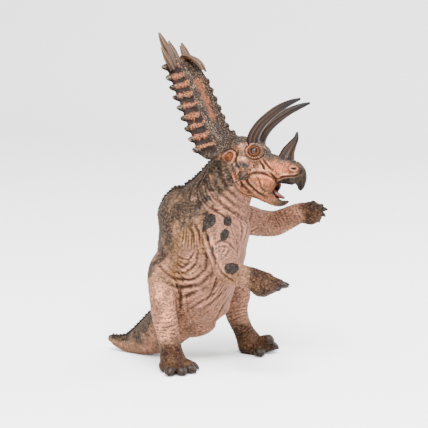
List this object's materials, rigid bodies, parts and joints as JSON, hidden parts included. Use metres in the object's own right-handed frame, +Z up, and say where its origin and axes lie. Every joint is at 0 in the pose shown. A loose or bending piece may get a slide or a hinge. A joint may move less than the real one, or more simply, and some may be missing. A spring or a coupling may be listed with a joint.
{
  "type": "toy horned dinosaur figurine",
  "caption": "Moulded and hand-painted toy of a long-frilled horned dinosaur, rearing on its hind legs with its tail as a prop, mouth open and arms raised.",
  "frame": {"origin": "on the floor, under the middle of the bounding box", "axes": "+X is the way the animal faces, +Y is to its left, +Z is up"},
  "size_m": [0.1386, 0.0908, 0.2069],
  "materials": {
    "torso": "satin painted vinyl",
    "neck": "satin painted vinyl",
    "tail": "satin painted vinyl",
    "upper_arm_right": "satin painted vinyl",
    "forearm_right": "satin painted vinyl",
    "hand_right": "satin painted vinyl",
    "upper_arm_left": "satin painted vinyl",
    "forearm_left": "satin painted vinyl",
    "hand_left": "satin painted vinyl",
    "thigh_right": "satin painted vinyl",
    "shin_right": "satin painted vinyl",
    "foot_right": "satin painted vinyl",
    "thigh_left": "satin painted vinyl",
    "shin_left": "satin painted vinyl",
    "foot_left": "satin painted vinyl",
    "head": "satin painted vinyl",
    "frill": "satin painted vinyl",
    "lower_jaw": "satin painted vinyl",
    "tongue": "satin painted vinyl",
    "brow_horn_left": "satin painted vinyl",
    "brow_horn_right": "satin painted vinyl",
    "nose_horn": "satin painted vinyl",
    "cheek_horn_left": "satin painted vinyl",
    "cheek_horn_right": "satin painted vinyl",
    "eye_left": "glossy painted eye",
    "eye_right": "glossy painted eye"
  },
  "bodies": {
    "root": {"torso": "torso", "neck": "neck", "tail": "tail", "upper_arm_right": "upper_arm_right", "forearm_right": "forearm_right", "hand_right": "hand_right", "upper_arm_left": "upper_arm_left", "forearm_left": "forearm_left", "hand_left": "hand_left", "thigh_right": "thigh_right", "shin_right": "shin_right", "foot_right": "foot_right", "thigh_left": "thigh_left", "shin_left": "shin_left", "foot_left": "foot_left", "head": "head", "frill": "frill", "lower_jaw": "lower_jaw", "tongue": "tongue", "brow_horn_left": "brow_horn_left", "brow_horn_right": "brow_horn_right", "nose_horn": "nose_horn", "cheek_horn_left": "cheek_horn_left", "cheek_horn_right": "cheek_horn_right", "eye_left": "eye_left", "eye_right": "eye_right"}
  },
  "joints": []
}
